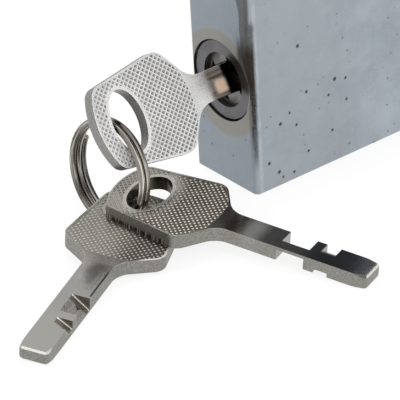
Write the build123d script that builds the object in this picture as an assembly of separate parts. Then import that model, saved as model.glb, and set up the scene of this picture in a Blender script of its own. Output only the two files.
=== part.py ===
from build123d import *
import os
from math import atan2, cos, pi, radians, sin, sqrt, tan

os.makedirs("parts", exist_ok=True)

# Block: the origin is the middle of its base, the key side is the -X end
bodyLength = 94.0
bodyThickness = 22.0
bodyHeight = 74.0
bodyEdgeRadius = 1.5
bodyTopChamfer = 0.8
bodyBaseChamfer = 0.3
faceX = -bodyLength / 2

# Gap in the top that takes the hasp or the container's bars
notchLow = -5.0
notchHigh = 27.0
notchFloor = 48.0
notchCornerRadius = 3.0

# Sliding bolt that crosses the gap
boltRadius = 6.0
boltHeight = 61.0
boltTip = -20.5
boltEnd = 51.0
boltTravel = 47.5
boltGrooveRadius = 4.4
boltFlatHeight = 64.8
boltChamfer = 0.8
slideClearance = 0.05
fitGap = 0.02

# Stop pin that keeps the bolt in the block
stopPinRadius = 2.0
stopPinX = 43.0
stopPinHeight = 67.0
stopPinDepth = 18.0

# Locking pin, lifted by the cam and pushed down by its spring
pinX = -12.0
pinRadius = 3.5
pinWaistRadius = 2.7
pinCollarRadius = 4.4
pinTipRadius = 2.0
pinBoreRadius = 4.5
pinTop = 54.66
pinWaistTop = 48.2
pinCollarTop = 40.0
pinCollarHeight = 2.0
springShoulder = 46.0
springWire = 0.9
springRadius = 3.6
springTurns = 3.5
plugHeight = 6.0

# Lock cylinder
axisHeight = 26.0
caseRadius = 9.9
caseBoreRadius = 10.0
caseFront = faceX + 0.48
caseBack = -15.75
caseOpening = 6.7
caseLip = 1.2
rotorRadius = 7.4
rotorHoleRadius = 6.3
rotorRoom = 7.5
rotorBack = -17.05
rotorWall = 1.0
screwX = -37.0
screwRadius = 2.5
cylinderBoreEnd = -7.5
plugClearance = 0.1

# Disc pack, from the front
discRadius = 6.2
discThickness = 1.7
discPitch = 2.2
discFront = -40.34
discCodes = [45, 45, 45, 0, 30, 30, 0, 0, 0]
spacerThickness = 0.4
spacerHole = 4.2
gateWidth = 1.8
sidebarWidth = 1.56

# Cam on the rotor's tail: its lobe lifts the pin by a steady amount per degree
camFront = -15.2
camThickness = 6.0
camRestReach = 9.16
camLiftPerDegree = 0.056
camBase = 3.9
tailRadius = 3.0
tailFlat = 4.4

# Keys: blade sizes, then the cuts as start, end, twist and how far each side's flat is from the axis
bladeLength = 37.9
bladeWidth = 7.06
keyThickness = 3.48
keyCuts = [(15.4, 22.2, 37, 0.99, 1.35), (24.65, 28.15, 30, 1.47, 2.42)]
tipChamfer = 1.0
neckS = 0.44
neckRadius = 5.0
neckRoot = 5.0
shoulderS = -5.4
shoulderHalf = 12.4
bowEndS = -24.6
bowEndHalf = 9.6
bowApex = -27.0
bowCorner = 3.0
bowHoleS = -18.8
bowHoleHalfLength = 4.3
bowHoleHalfWidth = 7.5
knurlRim = 0.4
holeRim = 0.75
knurlDepth = 0.15
knurlCentreS = -31.0
knurlReach = 30.0

# How the turned plug and the three keys lie: neck point, then yaw, tilt, roll in degrees
restTurn = -32.86
key1Neck = (-56.09, 0.0, axisHeight)
key2Neck = (-94.753, -15.225, 3.66)
key2Angles = (208.076, 2.42, -6.0)
key3Neck = (-67.253, -23.661, 6.153)
key3Angles = (-67.729, 6.787, 0.432)

# Split ring
ringCentre = (-78.62, 1.65, 14.4)
ringAxisYaw = 1.93
ringAxisPitch = -7.7
ringRadius = 11.73
ringWire = 1.2
ringPitch = 1.65
ringTurns = 2.25
ringStart = 19.15


def rodX(radius, low, high, y=0.0, z=axisHeight):
    rod = Cylinder(radius, high - low, align=(Align.CENTER, Align.CENTER, Align.MIN))
    # The turn about its own axis keeps the seam clear of the cross bores
    return Pos(low, y, z) * Rot(0, 90, 0) * Rot(0, 0, 80) * rod


def rodY(radius, low, high, x, z):
    rod = Cylinder(radius, high - low, align=(Align.CENTER, Align.CENTER, Align.MIN))
    return Pos(x, low, z) * Rot(-90, 0, 0) * rod


def rodZ(radius, low, high, x, y=0.0):
    rod = Cylinder(radius, high - low, align=(Align.CENTER, Align.CENTER, Align.MIN))
    return Pos(x, y, low) * rod


def blockBetween(low, high):
    size = [b - a for a, b in zip(low, high)]
    middle = [(a + b) / 2 for a, b in zip(low, high)]
    return Pos(*middle) * Box(*size)


def turnPlug(shape):
    # Turns a piece of the plug from upright to where the key has turned it
    return Pos(0, 0, axisHeight) * Rot(restTurn, 0, 0) * Pos(0, 0, -axisHeight) * shape


def padlockBody():
    half = bodyThickness / 2
    block = blockBetween((faceX, -half, 0), (-faceX, half, bodyHeight))
    block = fillet(block.edges().filter_by(Axis.Z), bodyEdgeRadius)
    block = chamfer(block.faces().sort_by(Axis.Z)[-1].edges(), bodyTopChamfer)
    block = chamfer(block.faces().sort_by(Axis.Z)[0].edges(), bodyBaseChamfer)
    notch = blockBetween((notchLow, -half - 5, notchFloor), (notchHigh, half + 5, bodyHeight + 10))
    lowEdges = notch.edges().filter_by(Axis.Y).sort_by(Axis.Z)[:2]
    notch = fillet(lowEdges, notchCornerRadius)
    block -= notch
    block -= rodX(caseBoreRadius, faceX - 1, cylinderBoreEnd)
    block -= rodX(boltRadius + slideClearance, boltTip - 1, -faceX + 1, z=boltHeight)
    block -= rodZ(pinBoreRadius, -1, springShoulder, pinX)
    block -= rodZ(pinRadius + slideClearance, springShoulder - 1, boltHeight - boltRadius + 2, pinX)
    block -= rodZ(screwRadius, -1, axisHeight - caseRadius + 1, screwX)
    block -= rodY(stopPinRadius, half - stopPinDepth, half + 1, stopPinX, stopPinHeight)
    return block


def bolt():
    rod = rodX(boltRadius, boltTip, boltEnd, z=boltHeight)
    ends = rod.faces().filter_by(Axis.X).edges()
    rod = chamfer(ends, boltChamfer)
    grooveHalf = pinRadius + 0.7
    groove = rodX(boltRadius + 1, pinX - grooveHalf, pinX + grooveHalf, z=boltHeight)
    groove -= rodX(boltGrooveRadius, pinX - grooveHalf, pinX + grooveHalf, z=boltHeight)
    rod -= groove
    grip = rodX(boltRadius + 1, -faceX + 1.2, -faceX + 2.6, z=boltHeight)
    grip -= rodX(boltRadius - 0.9, -faceX + 1.2, -faceX + 2.6, z=boltHeight)
    rod -= grip
    flatEnd = stopPinRadius + 0.15
    low = (stopPinX - boltTravel - flatEnd, -10, boltFlatHeight)
    high = (stopPinX + flatEnd, 10, boltHeight + 10)
    return rod - blockBetween(low, high)


def stopPin():
    half = bodyThickness / 2
    pin = rodY(stopPinRadius - fitGap, half - stopPinDepth + 0.2, half - 0.1, stopPinX, stopPinHeight)
    return chamfer(pin.faces().filter_by(Axis.Y).edges(), 0.3)


def lockingPin():
    tipCentre = axisHeight + camRestReach
    collarLow = pinCollarTop - pinCollarHeight
    head = rodZ(pinRadius, pinWaistTop, pinTop, pinX)
    head = chamfer(head.faces().sort_by(Axis.Z)[-1].edges(), 0.4)
    waist = rodZ(pinWaistRadius, pinCollarTop, pinWaistTop, pinX)
    collar = rodZ(pinCollarRadius, collarLow, pinCollarTop, pinX)
    stem = rodZ(pinTipRadius, tipCentre, collarLow, pinX)
    tip = Pos(pinX, 0, tipCentre) * Sphere(pinTipRadius)
    return head + waist + collar + stem + tip


def borePlug():
    return rodZ(pinBoreRadius - fitGap, 0.2, plugHeight, pinX)


def cylinderCase():
    case = rodX(caseRadius, caseFront, caseBack)
    case = chamfer(case.faces().sort_by(Axis.X)[0].edges(), 0.35)
    case -= rodX(caseOpening, caseFront - 1, caseFront + caseLip + 1)
    case -= rodX(rotorRoom, caseFront + caseLip, caseBack + 1)
    case -= rodX(rotorRoom + 0.45, rotorBack + 0.1, rotorBack + 0.9)
    low = (discFront - 0.6, -rotorRoom - 1.2, axisHeight - 1.0)
    high = (discFront + 20.2, -rotorRoom + 1.2, axisHeight + 1.0)
    case -= blockBetween(low, high)
    case -= rodZ(screwRadius, axisHeight - caseRadius - 1, axisHeight - caseRadius + 1.0, screwX)
    return case


def cylinderScrew():
    tipTop = axisHeight - caseRadius + 0.9
    screw = rodZ(screwRadius - fitGap, 0.6, tipTop, screwX)
    screw = chamfer(screw.faces().sort_by(Axis.Z)[-1].edges(), 0.4)
    socket = Pos(screwX, 0, 0) * extrude(RegularPolygon(1.45, 6), 3.2)
    return screw - socket


def caseCirclip():
    clip = rodX(rotorRoom + 0.4, rotorBack + 0.15, rotorBack + 0.85)
    clip -= rodX(5.6, rotorBack, rotorBack + 1)
    return clip - blockBetween((rotorBack, -2, axisHeight), (rotorBack + 1, 2, axisHeight + 10))


def tailSection(extra):
    # Round tail with two flats, along the plug's axis
    tail = rodX(tailRadius + extra, rotorBack, camFront + camThickness + 0.1)
    wide = tailFlat / 2 + extra
    low = (rotorBack, -wide, axisHeight - 10)
    high = (0, wide, axisHeight + 10)
    return tail & blockBetween(low, high)


def rotor():
    front = caseFront + caseLip + plugClearance
    tube = rodX(rotorRadius, front, rotorBack)
    tube -= rodX(rotorHoleRadius, front - 1, rotorBack - rotorWall)
    slotHalf = gateWidth / 2 - 0.05
    low = (discFront - 0.3, -rotorRadius - 1, axisHeight - slotHalf)
    high = (discFront + 19.6, -rotorHoleRadius + 1, axisHeight + slotHalf)
    tube -= blockBetween(low, high)
    tube += tailSection(0.0)
    screwHole = rodX(1.2, -14.0, camFront + camThickness + 1)
    return turnPlug(tube - screwHole)


def frontPlate():
    front = caseFront + caseLip + plugClearance
    back = front + 1.9
    plate = rodX(rotorHoleRadius - 0.05, front, back)
    hole = rodX(5.6, front - 1, back + 1)
    tabLow = bladeWidth / 2 + 0.22
    for side in (-1, 1):
        zs = sorted((side * tabLow, side * 8))
        hole -= blockBetween((front - 1, -2.6, axisHeight + zs[0]), (back + 1, 2.6, axisHeight + zs[1]))
    return turnPlug(plate - hole)


def bladeHole(low, high, codes):
    # Room for the blade, and for the blade turned by each code angle
    cutter = None
    for code in codes:
        slot = Box(high - low, keyThickness + 0.26, bladeWidth + 0.26)
        slot = Pos((low + high) / 2, 0, axisHeight) * Rot(code, 0, 0) * slot
        cutter = slot if cutter is None else cutter + slot
    return cutter


def drillPlate():
    low = caseFront + caseLip + plugClearance + 1.95
    high = discFront - 0.1
    plate = rodX(rotorHoleRadius - 0.05, low, high)
    return turnPlug(plate - bladeHole(low - 1, high + 1, (0, 22, 45)))


def disc(index):
    low = discFront + index * discPitch
    high = low + discThickness
    code = discCodes[index]
    plate = rodX(discRadius, low, high)
    plate -= bladeHole(low - 1, high + 1, sorted({0, code / 2, code}))
    gateLow = (low - 1, -discRadius - 1, axisHeight - gateWidth / 2)
    gateHigh = (high + 1, -discRadius + 1.35, axisHeight + gateWidth / 2)
    plate -= blockBetween(gateLow, gateHigh)
    for turn in (-72, 64):
        notch = blockBetween((low - 1, -discRadius - 1, -0.7), (high + 1, -discRadius + 0.6, 0.7))
        plate -= Pos(0, 0, axisHeight) * Rot(turn + code, 0, 0) * notch
    return turnPlug(plate)


def spacer(index):
    low = discFront + index * discPitch + discThickness + 0.05
    washer = rodX(discRadius - 0.1, low, low + spacerThickness)
    washer -= rodX(spacerHole, low - 1, low + 1)
    gateLow = (low - 1, -discRadius - 1, axisHeight - gateWidth / 2)
    gateHigh = (low + 1, -discRadius + 1.35, axisHeight + gateWidth / 2)
    return turnPlug(washer - blockBetween(gateLow, gateHigh))


def sidebar():
    half = sidebarWidth / 2
    low = (discFront - 0.1, -rotorRadius + 0.1, axisHeight - half)
    high = (discFront + 19.4, -discRadius + 1.25, axisHeight + half)
    bar = blockBetween(low, high)
    outer = bar.faces().sort_by(Axis.Y)[0].edges().filter_by(Axis.X)
    return turnPlug(chamfer(outer, 0.4))


def camReach(angle):
    # Height of the pin's tip centre above the plug's axis, by direction from +Y
    return camRestReach + camLiftPerDegree * (90 - angle)


def camPoint(angle):
    # The cam's edge keeps the tip's radius away from the path of the tip's centre
    reach = camReach(angle)
    rise = -camLiftPerDegree * 180 / pi
    turn = radians(angle)
    outX, outY = cos(turn), sin(turn)
    alongX = rise * outX - reach * outY
    alongY = rise * outY + reach * outX
    length = sqrt(alongX ** 2 + alongY ** 2)
    offset = pinTipRadius + 0.06
    return (reach * outX - offset * alongY / length, reach * outY + offset * alongX / length)


def cam():
    first, last = 50, 156
    steps = 8
    lift = [camPoint(first + (last - first) * i / steps) for i in range(steps + 1)]
    low = (camBase * cos(radians(250)), camBase * sin(radians(250)))
    side = (camBase * cos(radians(330)), camBase * sin(radians(330)))
    near = (lift[0][0] + 0.3, lift[0][1] - 2.4)
    edge = Spline(*lift)
    back = Line(lift[-1], (-camBase, 0))
    under = ThreePointArc((-camBase, 0), low, side)
    ramp = Line(side, near)
    nose = Line(near, lift[0])
    face = make_face([edge, back, under, ramp, nose])
    plane = Plane(origin=(camFront, 0, axisHeight), x_dir=(0, 1, 0), z_dir=(1, 0, 0))
    body = extrude(plane * face, camThickness)
    return body - turnPlug(tailSection(0.03)) - rodX(1.2, camFront, camFront + camThickness + 1)


def camScrew():
    seat = camFront + camThickness + 0.1
    head = rodX(3.6, seat, seat + 1.0)
    shank = rodX(1.2, -13.9, seat)
    slot = blockBetween((seat + 0.5, -5, axisHeight - 0.4), (seat + 2, 5, axisHeight + 0.4))
    return turnPlug(head + shank - slot)


def bowOutline():
    # Takes in the root of the blade, so that the hollow round of the neck is whole
    bladeHalf = bladeWidth / 2
    upper = [(neckRoot, bladeHalf), (neckS, bladeHalf), (shoulderS, shoulderHalf), (bowEndS, bowEndHalf)]
    lower = [(s, -half) for s, half in reversed(upper)]
    sides = Polyline(*upper)
    end = ThreePointArc(upper[-1], (bowApex, 0), lower[0])
    back = Polyline(*lower)
    root = Line(lower[-1], upper[0])
    face = make_face([*sides.edges(), end, *back.edges(), root])
    face = fillet([v for v in face.vertices() if v.X < neckS - 1], bowCorner)
    return fillet([v for v in face.vertices() if abs(v.X - neckS) < 0.01], neckRadius)


def keyBlank():
    # Lies flat: the neck is at the origin, the tip is along +X, the faces look along Z
    half = keyThickness / 2
    outline = bowOutline()
    hole = Pos(bowHoleS, 0) * Ellipse(bowHoleHalfLength, bowHoleHalfWidth)
    bow = extrude(outline - hole, half, both=True)
    field = offset(outline, -knurlRim)
    field -= Pos(bowHoleS, 0) * Ellipse(bowHoleHalfLength + holeRim, bowHoleHalfWidth + holeRim)
    field &= Pos(knurlCentreS, 0) * Circle(knurlReach)
    for side in (-1, 1):
        face = Pos(0, 0, side * (half - knurlDepth / 2)) * field
        bow -= extrude(face, knurlDepth / 2, both=True)
    blade = blockBetween((-0.5, -bladeWidth / 2, -half), (bladeLength, bladeWidth / 2, half))
    tip = [e for e in blade.edges().filter_by(Axis.Z) if e.center().X > bladeLength - 1]
    blade = chamfer(tip, tipChamfer)
    for start, end, twist, upper, lower in keyCuts:
        for turn, depth in ((0, upper), (180, lower)):
            cutter = Pos(0, 0, depth + 5) * Box(end - start, 16, 10)
            blade -= Pos((start + end) / 2, 0, 0) * Rot(turn - twist, 0, 0) * cutter
    return bow + blade


def keyPlane(neck, yaw, tilt, roll):
    yaw, tilt, roll = radians(yaw), radians(tilt), radians(roll)
    along = Vector(cos(yaw) * cos(tilt), sin(yaw) * cos(tilt), -sin(tilt))
    across = Vector(-sin(yaw), cos(yaw), 0)
    normal = along.cross(across)
    return Plane(origin=neck, x_dir=along, z_dir=normal * cos(roll) - across * sin(roll))


def biarcs(points, tangents):
    # Two arcs from each point to the next, meeting with one tangent
    edges = []
    for i in range(len(points) - 1):
        start, end = points[i], points[i + 1]
        leave, arrive = tangents[i], tangents[i + 1]
        gap = end - start
        along = gap.dot(leave + arrive)
        bend = 2 * (1 - leave.dot(arrive))
        reach = (sqrt(along ** 2 + bend * gap.dot(gap)) - along) / bend
        first, second = start + leave * reach, end - arrive * reach
        joint = (first + second) * 0.5
        for low, corner, high in ((start, first, joint), (joint, second, end)):
            middle = (low + high) * 0.5
            rise = corner - middle
            chord = (high - low).length / 2
            sag = chord * tan(atan2(rise.length, chord) / 2)
            edges.append(ThreePointArc(low, middle + rise.normalized() * sag, high))
    return edges


def coil(centre, axis, side, radius, wire, pitch, turns, startAngle, spansPerTurn):
    # Open coil: the angle runs backwards from startAngle while the wire moves against the axis
    up = axis.cross(side)
    count = round(turns * spansPerTurn)
    points, tangents = [], []
    for i in range(count + 1):
        angle = radians(startAngle) - 2 * pi * i / spansPerTurn
        shift = pitch * (turns / 2 - i / spansPerTurn)
        outward = side * cos(angle) + up * sin(angle)
        travel = side * sin(angle) - up * cos(angle)
        points.append(centre + outward * radius + axis * shift)
        tangents.append((travel * 2 * pi * radius - axis * pitch).normalized())
    path = Wire(biarcs(points, tangents))
    section = Plane(origin=points[0], z_dir=tangents[0]) * Circle(wire / 2)
    return sweep(section, path=path), path


def leastGap(path, wire, turns):
    # Smallest space between one turn and the next, on points of the middle line
    count = 240
    points = [path @ (i / count) for i in range(count + 1)]
    apart = int(count / turns * 0.5)
    near = 1e9
    for i in range(count + 1):
        for j in range(i + apart, count + 1):
            near = min(near, (points[i] - points[j]).length)
    return near - wire


def splitRing():
    yaw, pitch = radians(ringAxisYaw), radians(ringAxisPitch)
    axis = Vector(cos(pitch) * cos(yaw), cos(pitch) * sin(yaw), sin(pitch))
    side = Vector(0, 0, 1).cross(axis).normalized()
    ring, path = coil(Vector(*ringCentre), axis, side, ringRadius, ringWire, ringPitch, ringTurns, ringStart, 4)
    print("split_ring least gap to itself", round(leastGap(path, ringWire, ringTurns), 3))
    return ring


def pinSpring():
    low = pinCollarTop + springWire / 2 + 0.05
    high = springShoulder - springWire / 2 - 0.05
    pitch = (high - low) / springTurns
    centre = Vector(pinX, 0, (low + high) / 2)
    up, side = Vector(0, 0, 1), Vector(1, 0, 0)
    spring, path = coil(centre, up, side, springRadius, springWire, pitch, springTurns, 0, 2)
    print("pin_spring least gap to itself", round(leastGap(path, springWire, springTurns), 3))
    return spring


nodes = {
    "padlock_body": padlockBody(),
    "bolt": bolt(),
    "stop_pin": stopPin(),
    "locking_pin": lockingPin(),
    "pin_spring": pinSpring(),
    "bore_plug": borePlug(),
    "cylinder_case": cylinderCase(),
    "cylinder_screw": cylinderScrew(),
    "case_circlip": caseCirclip(),
    "rotor": rotor(),
    "front_plate": frontPlate(),
    "drill_plate": drillPlate(),
    "sidebar": sidebar(),
    "cam": cam(),
    "cam_screw": camScrew(),
    "split_ring": splitRing(),
}

for index in range(len(discCodes)):
    nodes[f"disc_{index + 1}"] = disc(index)
for index in range(len(discCodes) - 1):
    nodes[f"spacer_{index + 1}"] = spacer(index)

blank = keyBlank()
nodes["key_1"] = Location(keyPlane(key1Neck, 0, 0, 90 + restTurn)) * blank
nodes["key_2"] = Location(keyPlane(key2Neck, *key2Angles)) * blank
nodes["key_3"] = Location(keyPlane(key3Neck, *key3Angles)) * blank

for name, shape in nodes.items():
    export_step(shape, f"parts/{name}.step")
print(len(nodes), "nodes written")
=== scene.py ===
import bpy
from math import atan2, cos, pi, radians, sin, sqrt, tan
from mathutils import Matrix, Vector


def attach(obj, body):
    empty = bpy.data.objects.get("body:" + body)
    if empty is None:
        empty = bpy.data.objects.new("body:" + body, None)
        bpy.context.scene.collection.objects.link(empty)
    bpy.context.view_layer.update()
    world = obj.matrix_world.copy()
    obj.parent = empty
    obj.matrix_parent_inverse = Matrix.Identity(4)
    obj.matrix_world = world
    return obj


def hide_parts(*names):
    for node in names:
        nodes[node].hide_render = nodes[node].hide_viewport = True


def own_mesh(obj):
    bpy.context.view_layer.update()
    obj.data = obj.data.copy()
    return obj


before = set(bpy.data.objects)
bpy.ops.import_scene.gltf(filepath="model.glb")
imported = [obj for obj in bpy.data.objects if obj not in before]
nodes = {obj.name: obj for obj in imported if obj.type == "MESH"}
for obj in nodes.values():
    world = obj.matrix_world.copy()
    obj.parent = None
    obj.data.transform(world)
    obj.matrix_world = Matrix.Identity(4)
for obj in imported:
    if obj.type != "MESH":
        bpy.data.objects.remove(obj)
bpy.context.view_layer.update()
mm = 0.001
same = 1e-6  # Points closer than this count as one
xAxis, zAxis = Vector((1, 0, 0)), Vector((0, 0, 1))
print("frame loaded:", len(nodes), "nodes")


# Working in the viewport: select, switch mode, bring a solid in, cut one with another

def dropAll():
    if bpy.context.object and bpy.context.object.mode != "OBJECT":
        bpy.ops.object.mode_set(mode="OBJECT")
    bpy.ops.object.select_all(action="DESELECT")


def take(piece):
    dropAll()
    piece.select_set(True)
    bpy.context.view_layer.objects.active = piece
    return piece


def named(name):
    piece = bpy.context.object
    piece.name = name
    piece.data.name = name
    return piece


def settle():
    bpy.ops.object.transform_apply(location=True, rotation=True, scale=True)


def block(name, low, high):
    dropAll()
    middle = [(a + b) / 2 for a, b in zip(low, high)]
    bpy.ops.mesh.primitive_cube_add(size=1, location=middle)
    bpy.ops.transform.resize(value=[b - a for a, b in zip(low, high)], center_override=middle)
    settle()
    return named(name)


def bar(name, radii, low, high, x, sides=96):
    # An upright bar with an oval section, centred at x
    dropAll()
    bpy.ops.mesh.primitive_cylinder_add(vertices=sides, radius=radii[0], depth=high - low,
                                        location=(x, 0, (low + high) / 2))
    bpy.ops.transform.resize(value=(1, radii[1] / radii[0], 1), center_override=(x, 0, 0))
    settle()
    return named(name)


def pick(piece, kind, test):
    # kind is "FACE" or "EDGE"; the test gets an edge's ends, or a face's middle and normal
    take(piece)
    bpy.ops.object.mode_set(mode="EDIT")
    bpy.ops.mesh.select_mode(type=kind)
    bpy.ops.mesh.select_all(action="DESELECT")
    bpy.ops.object.mode_set(mode="OBJECT")
    spots = [v.co.copy() for v in piece.data.vertices]
    if kind == "FACE":
        for face in piece.data.polygons:
            face.select = test(face.center, face.normal)
    else:
        for edge in piece.data.edges:
            edge.select = test(spots[edge.vertices[0]], spots[edge.vertices[1]])
    bpy.ops.object.mode_set(mode="EDIT")


def done():
    bpy.ops.object.mode_set(mode="OBJECT")


def pointOutwards():
    bpy.ops.mesh.select_all(action="SELECT")
    bpy.ops.mesh.normals_make_consistent(inside=False)


def trim(piece, point, normal):
    # Keeps what lies behind the plane
    take(piece)
    bpy.ops.object.mode_set(mode="EDIT")
    bpy.ops.mesh.select_all(action="SELECT")
    bpy.ops.mesh.bisect(plane_co=point, plane_no=normal, use_fill=True, clear_outer=True)
    done()


def combine(piece, tool, operation):
    take(piece)
    cut = piece.modifiers.new("cut", "BOOLEAN")
    cut.operation, cut.solver, cut.object = operation, "EXACT", tool
    bpy.ops.object.modifier_apply(modifier=cut.name)
    bpy.data.objects.remove(tool)
    return piece


def join(piece, *others):
    take(piece)
    for other in others:
        other.select_set(True)
    bpy.ops.object.join()
    return bpy.context.object


def place(piece, matrix):
    take(piece)
    piece.matrix_world = matrix
    settle()
    return piece


def twin(piece, name):
    other = piece.copy()
    other.data = piece.data.copy()
    bpy.context.scene.collection.objects.link(other)
    other.name = other.data.name = name
    return other


def soften(piece, width, segments=2, angle=35):
    take(piece)
    bevel = piece.modifiers.new("soften", "BEVEL")
    bevel.width, bevel.segments, bevel.limit_method = width, segments, "ANGLE"
    bevel.angle_limit, bevel.harden_normals = radians(angle), False
    bpy.ops.object.modifier_apply(modifier=bevel.name)
    bpy.ops.object.shade_smooth_by_angle(angle=radians(angle))
    # Keeps the shading of the flats level right up to their rounded edges
    flat = piece.modifiers.new("flat", "WEIGHTED_NORMAL")
    flat.keep_sharp = True
    bpy.ops.object.modifier_apply(modifier=flat.name)
    return piece


# Shader sockets that add, multiply and compare as plain expressions

class Value:
    def __init__(self, maker, socket):
        self.maker, self.socket = maker, socket

    def math(self, operation, *values):
        return self.maker.node("ShaderNodeMath", {"operation": operation}, *values)

    def __add__(self, other):
        return self.math("ADD", self, other)

    def __sub__(self, other):
        return self.math("SUBTRACT", self, other)

    def __rsub__(self, other):
        return self.math("SUBTRACT", other, self)

    def __mul__(self, other):
        return self.math("MULTIPLY", self, other)

    def __truediv__(self, other):
        return self.math("DIVIDE", self, other)

    __radd__ = __add__
    __rmul__ = __mul__

    def most(self, other):
        return self.math("MAXIMUM", self, other)

    def least(self, other):
        return self.math("MINIMUM", self, other)

    def size(self):
        return self.math("ABSOLUTE", self)

    def step(self, low, high):
        # 0 at low, 1 at high, smooth between, whichever is the larger
        return self.maker.node("ShaderNodeMapRange", {"interpolation_type": "SMOOTHSTEP"},
                               self, low, high, 0.0, 1.0)

    def fade(self, low, high):
        # The same for a length, with both ends in millimetres
        return self.step(low * mm, high * mm)

    def other(self, name):
        # Another output of the same node
        return Value(self.maker, self.socket.node.outputs[name])


class Nodes:
    def __init__(self, tree, output):
        self.tree = tree
        self.tree.nodes.clear()
        self.output = self.tree.nodes.new(output)

    def node(self, kind, settings, *values, out=0, **sockets):
        made = self.tree.nodes.new(kind)
        for key, value in settings.items():
            setattr(made, key, value)
        pairs = [(made.inputs[i], v) for i, v in enumerate(values)]
        pairs += [(made.inputs[k.replace("_", " ")], v) for k, v in sockets.items()]
        for socket, value in pairs:
            if isinstance(value, Value):
                self.tree.links.new(value.socket, socket)
            elif value is not None:
                plainColour = socket.type == "RGBA" and len(value) == 3
                socket.default_value = (*value, 1) if plainColour else value
        return Value(self, made.outputs[out])

    def show(self, shader):
        self.tree.links.new(shader.socket, self.output.inputs[0])

    def seenDirect(self):
        # 1 for what the camera, a mirror or glass sees, 0 for what only lights other things
        camera = self.node("ShaderNodeLightPath", {}, out="Is Camera Ray")
        return camera.most(camera.other("Is Glossy Ray")).most(camera.other("Is Transmission Ray"))


class Finish(Nodes):
    def __init__(self, name):
        self.material = bpy.data.materials.new(name)
        self.material.use_nodes = True
        super().__init__(self.material.node_tree, "ShaderNodeOutputMaterial")
        self.place = self.node("ShaderNodeTexCoord", {}, out="Object")

    def blend(self, share, first, second, how="MIX"):
        # Colours only; the node's sockets before them are for numbers and vectors
        return self.node("ShaderNodeMix", {"data_type": "RGBA", "blend_type": how},
                         share, None, None, None, None, None, first, second, out=2)

    def noise(self, scale, detail=3.0, rough=0.55, at=None):
        return self.node("ShaderNodeTexNoise", {}, at or self.place, None, scale, detail, rough)

    def stretched(self, scale, at=None):
        return self.node("ShaderNodeMapping", {"vector_type": "POINT"}, at or self.place, None, None, scale)

    def mark(self, name, out="Fac"):
        return self.node("ShaderNodeAttribute", {"attribute_name": name}, out=out)

    def parts(self, at=None):
        x = self.node("ShaderNodeSeparateXYZ", {}, at or self.place)
        return x, x.other("Y"), x.other("Z")

    def vector(self, x, y, z):
        return self.node("ShaderNodeCombineXYZ", {}, x, y, z)

    def length(self, x, y, z):
        return self.node("ShaderNodeVectorMath", {"operation": "LENGTH"}, self.vector(x, y, z), out=1)

    def bump(self, height, strength, distance):
        return self.node("ShaderNodeBump", {}, strength, distance, Height=height)

    def close(self, **sockets):
        self.show(self.node("ShaderNodeBsdfPrincipled", {}, **sockets))
        return self.material


def darker(colour, share):
    return tuple(c * share for c in colour)


def dress(piece, material):
    piece.data.materials.clear()
    piece.data.materials.append(material)


# Camera: the photograph's own angle, a long lens from the key side

camera = dict(spot=(-0.595844, -0.708319, 0.511628), yaw=52.641, dip=29.969, roll=-3.391,
              lens=402.84, sensor=36, near=0.01, far=50)


def addCamera(c):
    yaw, dip, roll = radians(c["yaw"]), radians(c["dip"]), radians(c["roll"])
    forward = Vector((cos(dip) * cos(yaw), cos(dip) * sin(yaw), -sin(dip)))
    right = forward.cross(zAxis).normalized()
    up = right.cross(forward)
    side = right * cos(roll) + up * sin(roll)
    top = up * cos(roll) - right * sin(roll)
    turn = Matrix((side, top, -forward)).transposed()
    dropAll()
    bpy.ops.object.camera_add(location=c["spot"])
    eye = bpy.context.object
    eye.name = "camera"
    eye.matrix_world = Matrix.Translation(c["spot"]) @ turn.to_4x4()
    eye.data.lens, eye.data.sensor_width, eye.data.sensor_fit = c["lens"], c["sensor"], "HORIZONTAL"
    eye.data.clip_start, eye.data.clip_end = c["near"], c["far"]
    bpy.context.scene.camera = eye


addCamera(camera)

# Studio: white surround, three soft lamps, a white floor that keeps the shadow, and a black flag

studio = dict(surround=0.62, floor=0.80, floorRadius=3.0, floorMelt=0.86, aim=(-0.05, 0, 0.02),
              flag=((0.15, -1.3, 0.9), (1.6, -0.1, 0.9)),
              lamps=[("keyLight", (-0.25, -0.75, 0.75), 0.55, 7.0),
                     ("fillLight", (-0.85, 0.15, 0.55), 0.45, 4.0),
                     ("topLight", (0.10, 0.20, 1.00), 0.60, 5.0)])
pureWhite = (1, 1, 1, 1)


def addSurround(s):
    world = bpy.data.worlds.new("surround")
    bpy.context.scene.world = world
    bpy.context.scene.view_settings.view_transform = "Standard"
    world.use_nodes = True
    sky = Nodes(world.node_tree, "ShaderNodeOutputWorld")
    plain = sky.node("ShaderNodeBackground", {}, pureWhite, s["surround"])
    white = sky.node("ShaderNodeBackground", {}, pureWhite, 1.0)
    sky.show(sky.node("ShaderNodeMixShader", {}, sky.seenDirect(), plain, white))


def addLamps(s):
    for name, spot, size, power in s["lamps"]:
        dropAll()
        bpy.ops.object.light_add(type="AREA", location=spot)
        lamp = bpy.context.object
        lamp.name = name
        lamp.data.shape, lamp.data.size, lamp.data.energy = "DISK", size, power
        lamp.visible_glossy = False  # Polished metal shows the white surround instead
        toObject = Vector(s["aim"]) - Vector(spot)
        turn = toObject.to_track_quat("-Z", "Y").to_matrix().to_4x4()
        lamp.matrix_world = Matrix.Translation(spot) @ turn


def addFloor(s):
    dropAll()
    bpy.ops.mesh.primitive_circle_add(vertices=96, radius=s["floorRadius"], fill_type="NGON",
                                      location=(0, 0, 0))
    floor = named("floor")
    look = Finish("whiteFloor")
    matt = look.node("ShaderNodeBsdfDiffuse", {}, (s["floor"],) * 3)
    white = look.node("ShaderNodeEmission", {}, pureWhite, 1.0)
    # The floor mostly melts into the white surround and keeps a faint shadow
    look.show(look.node("ShaderNodeMixShader", {}, look.seenDirect() * s["floorMelt"], matt, white))
    dress(floor, look.material)


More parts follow.
